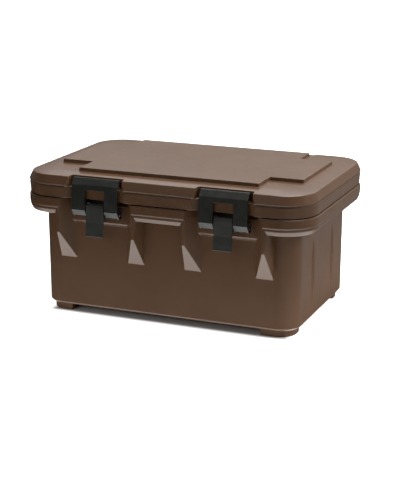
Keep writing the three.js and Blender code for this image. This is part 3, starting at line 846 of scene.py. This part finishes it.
def screw(x):
    """A pan-head screw with a cross recess."""
    under = POCKET_OUT + 3.8
    top = under + 2.6
    head = rounded([(under, 4.4, 0.3), (top - 0.2, 4.2, 1.4), (top, 0.01, 0)])
    tip = under - 10.5
    outline = [(tip, SCREW_RADIUS - 0.8), (tip + 1, SCREW_RADIUS), (under, SCREW_RADIUS), *head[:-1]]
    made = outward_bar(x, outline)
    for width, height in ((2.4, 0.5), (0.5, 2.4)):
        low = (x - width, -top - 1, SCREW_Z - height)
        made = cut(made, block(low, (x + width, -top + 1.3, SCREW_Z + height)))
    return made


def pin(out, z, radius, half):
    """A pin along x with chamfered ends."""
    chamfer = 0.5
    outline = [
        (-half, 0),
        (-half, radius - chamfer),
        (-half + chamfer, radius),
        (half - chamfer, radius),
        (half, radius - chamfer),
        (half, 0),
    ]
    return turned(outline, 32, pin_place(out, z))


# ---- Small pieces -------------------------------------------------------------------------------


def gasket():
    """A ring with a rounded underside that presses on the rim."""
    (inner_x, inner_y, inner_radius), _ = gasket_halves(0)
    low, high = GASKET_LOW.z, GASKET_HIGH.z
    section = rounded(
        [
            (0, high, 0.5),
            (0, low + 1, 0.6),
            (2, low, 1.2),
            (GASKET_WIDTH - 2, low, 1.2),
            (GASKET_WIDTH, low + 1, 0.6),
            (GASKET_WIDTH, high, 0.5),
        ]
    )
    rings = [
        ring(inner_x + growth, inner_y + growth, inner_radius + growth, z)
        for growth, z in section
    ]
    return skin(rings, closed=True)


def fill_plug(node):
    """A pressed-in plug with a domed, ringed flange."""
    low, high = box_mm(node)
    radius = high.x
    outline = rounded(
        [
            (high.z, 0, 0),
            (high.z, 13, 0.8),
            (low.z + 2, 13.7, 0.3),
            (low.z + 2, radius, 0.3),
            (low.z + 0.5, radius, 0.8),
            (low.z, radius - 2, 1),
            (low.z, 9, 0.3),
            (low.z + 0.7, 8.4, 0.3),
            (low.z + 0.7, 6, 0.3),
            (low.z, 5.4, 0.3),
            (low.z, 0, 0),
        ]
    )
    return turned(outline, 48, lambda z, a, b: (a, b, z))


# ---- Materials ----------------------------------------------------------------------------------


class Nodes:
    """A short way to build the nodes of a material or a world."""

    def __init__(self, owner, coordinates):
        owner.use_nodes = True
        self.tree = owner.node_tree
        self.place = self.add("ShaderNodeTexCoord").outputs[coordinates]

    def add(self, kind, **settings):
        node = self.tree.nodes.new(kind)
        for key, value in settings.items():
            setattr(node, key, value)
        return node

    def link(self, output, entry):
        self.tree.links.new(output, entry)

    def part(self, axis, vector=None):
        """One part of a vector, or of the place."""
        split = self.add("ShaderNodeSeparateXYZ")
        self.link(vector or self.place, split.inputs["Vector"])
        return split.outputs[axis]

    def noise(self, scale, detail=4, stretch=None):
        """A noise in metres: scale is how many patches fit in one metre."""
        node = self.add("ShaderNodeTexNoise")
        node.inputs["Scale"].default_value = scale
        node.inputs["Detail"].default_value = detail
        if stretch is None:
            self.link(self.place, node.inputs["Vector"])
        else:
            mapping = self.add("ShaderNodeMapping")
            mapping.inputs["Scale"].default_value = stretch
            self.link(self.place, mapping.inputs["Vector"])
            self.link(mapping.outputs["Vector"], node.inputs["Vector"])
        return node.outputs["Fac"]

    def ramp(self, value, start, end, low=0.0, high=1.0):
        node = self.add("ShaderNodeMapRange", interpolation_type="SMOOTHSTEP")
        for key, number in zip(("From Min", "From Max", "To Min", "To Max"), (start, end, low, high)):
            node.inputs[key].default_value = number
        self.link(value, node.inputs["Value"])
        return node.outputs["Result"]

    def math(self, operation, a, b):
        node = self.add("ShaderNodeMath", operation=operation)
        for entry, value in zip(node.inputs, (a, b)):
            if isinstance(value, (int, float)):
                entry.default_value = value
            else:
                self.link(value, entry)
        return node.outputs["Value"]

    def vector(self, operation, *vectors, output="Vector"):
        node = self.add("ShaderNodeVectorMath", operation=operation)
        for entry, value in zip(node.inputs, vectors):
            if isinstance(value, tuple):
                entry.default_value = value
            else:
                self.link(value, entry)
        return node.outputs[output]

    def mix(self, share, first, second):
        """Between two colours, or colour outputs, by share."""
        node = self.add("ShaderNodeMix", data_type="RGBA")
        self.link(share, node.inputs["Factor"])
        for key, colour in (("A", first), ("B", second)):
            entry = next(i for i in node.inputs if i.name == key and i.type == "RGBA")
            if isinstance(colour, tuple):
                entry.default_value = (*colour, 1)
            else:
                self.link(colour, entry)
        return next(o for o in node.outputs if o.type == "RGBA")


class MaterialNodes(Nodes):
    """The nodes of a new material."""

    def __init__(self, name):
        self.material = bpy.data.materials.new(name)
        super().__init__(self.material, "Object")
        self.shader = self.tree.nodes["Principled BSDF"]

    def edges(self, low, high):
        """How much a point lies on an outward edge."""
        return self.ramp(self.add("ShaderNodeNewGeometry").outputs["Pointiness"], low, high)

    def bump(self, layers):
        """Stacks (height output, distance in metres, strength) layers into the normal."""
        previous = None
        for height, distance, strength in layers:
            node = self.add("ShaderNodeBump")
            node.inputs["Distance"].default_value = distance
            node.inputs["Strength"].default_value = strength
            self.link(height, node.inputs["Height"])
            if previous is not None:
                self.link(previous, node.inputs["Normal"])
            previous = node.outputs["Normal"]
        self.link(previous, self.shader.inputs["Normal"])

    def set(self, **values):
        for key, value in values.items():
            entry = self.shader.inputs[key.replace("_", " ")]
            if isinstance(value, (int, float)):
                entry.default_value = value
            else:
                self.link(value, entry)


def moulded_polyethylene():
    """Brown rotationally moulded polyethylene: soft mottling, fine grain, and edges lightened partly as
    rubbing wear and partly as painted highlight lines.
    """
    n = MaterialNodes("brown_polyethylene")
    mottle = n.ramp(n.noise(9, 5), 0.35, 0.65)
    cloud = n.ramp(n.noise(34, 6), 0.3, 0.7)
    base = n.mix(mottle, (0.098, 0.049, 0.024), (0.106, 0.053, 0.026))
    base = n.mix(n.math("MULTIPLY", cloud, 0.3), base, (0.112, 0.058, 0.030))
    # Lightened outward edges: partly rubbing wear, partly painted highlight lines.
    rub_and_highlight = n.math("MULTIPLY", n.edges(0.505, 0.56), n.ramp(n.noise(60, 5), 0.35, 0.75, 0.1, 0.6))
    base = n.mix(rub_and_highlight, base, (0.17, 0.10, 0.06))
    roughness = n.math("ADD", n.ramp(cloud, 0, 1, 0.285, 0.32), n.math("MULTIPLY", rub_and_highlight, 0.08))
    grain = n.noise(1500, 2)
    ripple = n.noise(14, 2)
    n.bump([(ripple, 0.0012, 0.07), (grain, 0.00012, 0.25)])
    n.set(Base_Color=base, Roughness=roughness, Specular_IOR_Level=0.5)
    return n.material


def moulded_nylon(name, painted_light):
    """Black moulded nylon: satin, with a fine sandy grain and edges greyed partly as rubbing wear and
    partly as a painted highlight. The second argument lifts the whole colour as painted light, for
    pieces that catch more light.
    """
    n = MaterialNodes(name)
    cloud = n.noise(55, 5)
    # The second argument lightens both tones: painted light, not a different nylon.
    dark = tuple(value + 0.016 * painted_light for value in (0.0135, 0.0145, 0.0118))
    pale = tuple(value + 0.016 * painted_light for value in (0.0205, 0.0215, 0.0175))
    base = n.mix(n.ramp(cloud, 0.3, 0.7), dark, pale)
    # Greyed outward edges: partly rubbing wear, partly painted highlight.
    rub_and_highlight = n.math("MULTIPLY", n.edges(0.51, 0.60), n.ramp(n.noise(140, 4), 0.4, 0.75, 0.1, 0.6))
    base = n.mix(rub_and_highlight, base, (0.075, 0.078, 0.076))
    n.bump([(n.noise(2200, 2), 0.00008, 0.4)])
    n.set(Base_Color=base, Roughness=n.ramp(cloud, 0.2, 0.8, 0.42, 0.52), Specular_IOR_Level=0.5)
    return n.material


def stainless_steel():
    """Satin stainless steel with fine drawn lines."""
    n = MaterialNodes("stainless_steel")
    lines = n.noise(900, 3, stretch=(0.05, 1, 1))
    base = n.mix(n.ramp(lines, 0.3, 0.7), (0.42, 0.43, 0.44), (0.55, 0.56, 0.57))
    n.bump([(lines, 0.00005, 0.3)])
    n.set(Base_Color=base, Roughness=n.ramp(lines, 0.2, 0.8, 0.24, 0.36), Metallic=1)
    return n.material


def turned_brass():
    """Brass with fine lathe lines."""
    n = MaterialNodes("turned_brass")
    lines = n.noise(1200, 2, stretch=(1, 0.1, 1))
    base = n.mix(lines, (0.46, 0.28, 0.07), (0.62, 0.42, 0.13))
    n.bump([(lines, 0.00005, 0.3)])
    n.set(Base_Color=base, Roughness=0.35, Metallic=1)
    return n.material


def rigid_foam():
    """Cream polyurethane foam with small open cells."""
    n = MaterialNodes("rigid_foam")
    cells = n.add("ShaderNodeTexVoronoi")
    cells.inputs["Scale"].default_value = 700
    n.link(n.place, cells.inputs["Vector"])
    base = n.mix(n.ramp(cells.outputs["Distance"], 0.1, 0.7), (0.55, 0.42, 0.20), (0.74, 0.62, 0.36))
    n.bump([(cells.outputs["Distance"], 0.0004, 0.6)])
    n.set(Base_Color=base, Roughness=0.95)
    return n.material


def moulded_rubber():
    """Black rubber, a little dusty."""
    n = MaterialNodes("black_rubber")
    dust = n.ramp(n.noise(80, 6), 0.45, 0.8)
    base = n.mix(dust, (0.018, 0.018, 0.018), (0.05, 0.048, 0.045))
    n.bump([(n.noise(1800, 2), 0.0001, 0.4)])
    n.set(Base_Color=base, Roughness=n.ramp(dust, 0, 1, 0.7, 0.9))
    return n.material


POLYETHYLENE = moulded_polyethylene()
NYLON = moulded_nylon("black_nylon", 0)
# A lighter copy of the black nylon: painted light for the levers, which catch more light.
PAINTED_LIGHTER_NYLON = moulded_nylon("black_nylon_painted_lighter", 1)
STEEL = stainless_steel()
BRASS = turned_brass()
FOAM = rigid_foam()
RUBBER = moulded_rubber()

# ---- The object ---------------------------------------------------------------------------------


def hollow_for(shell, foam):
    """Cuts the space for the foam out of a solid shell."""
    bm = bmesh.new()
    bm.from_mesh(frame["nodes"][foam].data)
    bmesh.ops.remove_doubles(bm, verts=bm.verts, dist=0.001 * MM)
    bmesh.ops.scale(bm, vec=(1 / MM, 1 / MM, 1 / MM), verts=bm.verts)
    return cut(shell, object_from(bm))


def finish_copy(latch, source, part, body, material):
    """Finishes a copy of one latch's piece, in a latch's place."""
    made = bpy.data.objects.new(part, source.data.copy())
    bpy.context.scene.collection.objects.link(made)
    made.data.transform(latch_matrix(latch))
    node = f"{latch}_{part}"
    finish_piece(made, f"{node}_piece", body, node, material)


def build_body():
    shell = hollow_for(body_shell(), "body_foam")
    finish_piece(shell, "body_shell_piece", "body", "body_shell", POLYETHYLENE)
    plug = fill_plug("body_fill_plug")
    finish_piece(plug, "body_fill_plug_piece", "body", "body_fill_plug", NYLON)


def build_lid():
    shell = hollow_for(lid_shell(), "lid_foam")
    finish_piece(shell, "lid_shell_piece", "lid", "lid_shell", POLYETHYLENE)
    plug = fill_plug("lid_fill_plug")
    finish_piece(plug, "lid_fill_plug_piece", "lid", "lid_fill_plug", NYLON)
    finish_piece(gasket(), "lid_gasket_piece", "lid", "lid_gasket", RUBBER)


def build_latches():
    """Each piece is made once, in a latch's own frame, and copied to the four latches."""
    lever_pin = pin(LEVER_OUT, LEVER_Z, LEVER_PIN_RADIUS, LEVER_HALF - 0.5)
    link_pin = pin(LINK_OUT, LINK_Z, LINK_PIN_RADIUS, LINK_EYE_HALF - 0.5)
    pieces = [
        ("bracket", bracket(), "body", NYLON, "nylon_black"),
        # The levers get the lighter copy of the nylon, as painted light.
        ("lever", lever(), "{}_lever", PAINTED_LIGHTER_NYLON, "nylon_black"),
        ("link", link(), "{}_link", NYLON, "nylon_black"),
        ("lever_pin", lever_pin, "body", STEEL, "steel"),
        ("link_pin", link_pin, "{}_lever", STEEL, "steel"),
        ("screw_1", screw(-SCREW_X), "body", STEEL, "steel"),
        ("screw_2", screw(SCREW_X), "body", STEEL, "steel"),
    ]
    for part, source, body, material, slot in pieces:
        for latch in LATCHES:
            finish_copy(latch, source, part, body.format(latch), material)
        bpy.data.objects.remove(source)


def dress_cad_nodes():
    """The sealed-in pieces keep their CAD shape and get a material."""
    for name, node in frame["nodes"].items():
        if name.endswith("_foam"):
            material = FOAM
        elif "_insert_" in name:
            material = BRASS
        else:
            continue
        node.data.materials.clear()
        node.data.materials.append(material)


# ---- Floor, light and camera --------------------------------------------------------------------

FLOOR_COLOUR = (0.85, 0.85, 0.84)
FLOOR_SHADE_HALF = (0.254, 0.166, 0)  # the carrier's footprint, in metres
# Each reach is (start, end), in metres from the footprint's edge.
FLOOR_CLEAR_REACH = (0.0, 0.022)  # where the shadow fades out
FLOOR_DARK_REACH = (0.0, 0.012)  # where light that the floor bounces back sets in
FLOOR_BOUNCE_REACH = (0.05, 0.55)  # and where it fades out again
FLOOR_MIRROR_STEEPNESS = (0.5, 0.88, 0.05, 2.1)  # grazing reflections see a dark floor
FLOOR_BESIDE = (0.30, 0.36, 0.0, 0.1)  # but the right end's reflections see a pale one
FLOOR_GLOW = 1.2
BOUNCE_GLOW = 1.28
# The room's strength along y and along x: (start, end, strength at the start, at the end).
ROOM_BACK = (-0.4, 0.5, 0.07, 0.33)
ROOM_RIGHT = (-1, 1, 0.8, 1.15)


def floor_material():
    """White to the camera outside the carrier's shadow. It bounces light only near the carrier."""
    n = MaterialNodes("white_floor")
    apart = n.vector("ABSOLUTE", n.place)
    apart = n.vector("SUBTRACT", apart, FLOOR_SHADE_HALF)
    apart = n.vector("MAXIMUM", apart, (0, 0, 0))
    away = n.vector("LENGTH", apart, output="Value")
    near = n.ramp(away, *FLOOR_BOUNCE_REACH, 1, 0)
    rays = n.add("ShaderNodeLightPath").outputs
    seen = rays["Is Camera Ray"]
    mirrored = rays["Is Glossy Ray"]
    spread = n.math("SUBTRACT", 1, n.math("ADD", seen, mirrored))
    incoming = n.add("ShaderNodeNewGeometry").outputs["Incoming"]
    steep = n.ramp(n.part("Z", incoming), *FLOOR_MIRROR_STEEPNESS)
    beside = n.ramp(n.part("X"), *FLOOR_BESIDE)
    shine = n.math("MAXIMUM", n.math("MULTIPLY", steep, near), beside)
    bounce = n.math("ADD", n.math("MULTIPLY", mirrored, shine), n.math("MULTIPLY", spread, near))
    bounce = n.math("MULTIPLY", bounce, n.ramp(away, *FLOOR_DARK_REACH))
    clear = n.math("MULTIPLY", seen, n.ramp(away, *FLOOR_CLEAR_REACH))
    bounce_glow = n.math("MULTIPLY", bounce, BOUNCE_GLOW)
    glow = n.math("ADD", n.math("MULTIPLY", clear, FLOOR_GLOW), bounce_glow)
    n.set(
        Base_Color=n.mix(n.math("ADD", seen, bounce), (0.02, 0.02, 0.02), FLOOR_COLOUR),
        Roughness=0.9,
        Specular_IOR_Level=0.0,
        Emission_Strength=glow,
    )
    n.shader.inputs["Emission Color"].default_value = (1, 1, 1, 1)
    return n.material


def floor():
    """A wide flat floor under the carrier."""
    size = 30
    bm = bmesh.new()
    corners = [(-size, -size), (size, -size), (size, size), (-size, size)]
    bm.faces.new([bm.verts.new((x, y, 0)) for x, y in corners])
    mesh = bpy.data.meshes.new("studio_floor")
    bm.to_mesh(mesh)
    bm.free()
    mesh.materials.append(floor_material())
    made = bpy.data.objects.new("studio_floor", mesh)
    bpy.context.scene.collection.objects.link(made)


def soft_light(name, place, target, size, power, mirrored=True):
    """A rectangular light; one that isn't mirrored leaves no highlight."""
    data = bpy.data.lights.new(name, "AREA")
    data.shape = "RECTANGLE"
    data.size, data.size_y = size
    data.energy = power
    made = bpy.data.objects.new(name, data)
    made.location = place
    made.visible_glossy = mirrored
    made.rotation_mode = "QUATERNION"
    made.rotation_quaternion = (Vector(target) - Vector(place)).to_track_quat("-Z", "Y")
    bpy.context.scene.collection.objects.link(made)


def world_light():
    """White to the camera; as a light it is a pale room, dark on the camera's side."""
    world = bpy.data.worlds.new("studio")
    bpy.context.scene.world = world
    n = Nodes(world, "Generated")
    back = n.ramp(n.part("Y"), *ROOM_BACK)
    right = n.ramp(n.part("X"), *ROOM_RIGHT)
    seen = n.add("ShaderNodeLightPath").outputs["Is Camera Ray"]
    room = n.math("MULTIPLY", n.math("SUBTRACT", 1, seen), n.math("MULTIPLY", back, right))
    background = n.tree.nodes["Background"]
    n.link(n.math("ADD", seen, room), background.inputs["Strength"])
    background.inputs["Color"].default_value = (1, 1, 1, 1)


def camera():
    """At the catalogue view's angle, with a long lens."""
    azimuth, elevation = math.radians(22.43), math.radians(15.41)
    distance = 2.851
    target = Vector((0.0063, 0, 0.1322))
    back = Vector(
        (
            math.sin(azimuth) * math.cos(elevation),
            -math.cos(azimuth) * math.cos(elevation),
            math.sin(elevation),
        )
    )
    data = bpy.data.cameras.new("camera")
    data.lens = 98.42
    data.sensor_width = 36
    made = bpy.data.objects.new("camera", data)
    made.location = target + back * distance
    made.rotation_mode = "QUATERNION"
    made.rotation_quaternion = (-back).to_track_quat("-Z", "Y")
    bpy.context.scene.collection.objects.link(made)
    bpy.context.scene.camera = made


def studio():
    """The floor, the lights and the camera."""
    scene = bpy.context.scene
    scene.view_settings.view_transform = "Standard"
    scene.view_settings.look = "None"
    floor()
    world_light()
    soft_light("top_light", (0.4, 0.3, 2.4), (0, 0, 0.2), (1.7, 1.2), 66)
    soft_light("right_light", (2.4, 0.5, 1.6), (0.2, 0, 0.15), (0.9, 0.9), 40, mirrored=False)
    soft_light("front_light", (-0.5, -2.2, 2.2), (0, 0, 0.2), (1.5, 0.8), 2.5)
    soft_light("fill_light", (-1.2, -2.3, 0.9), (0, 0, 0.2), (1.5, 0.8), 10, mirrored=False)
    soft_light("back_light", (0, 2.8, 1.9), (0, 0, 0.3), (4.4, 0.8), 18)
    camera()


build_body()
build_lid()
build_latches()
dress_cad_nodes()
studio()
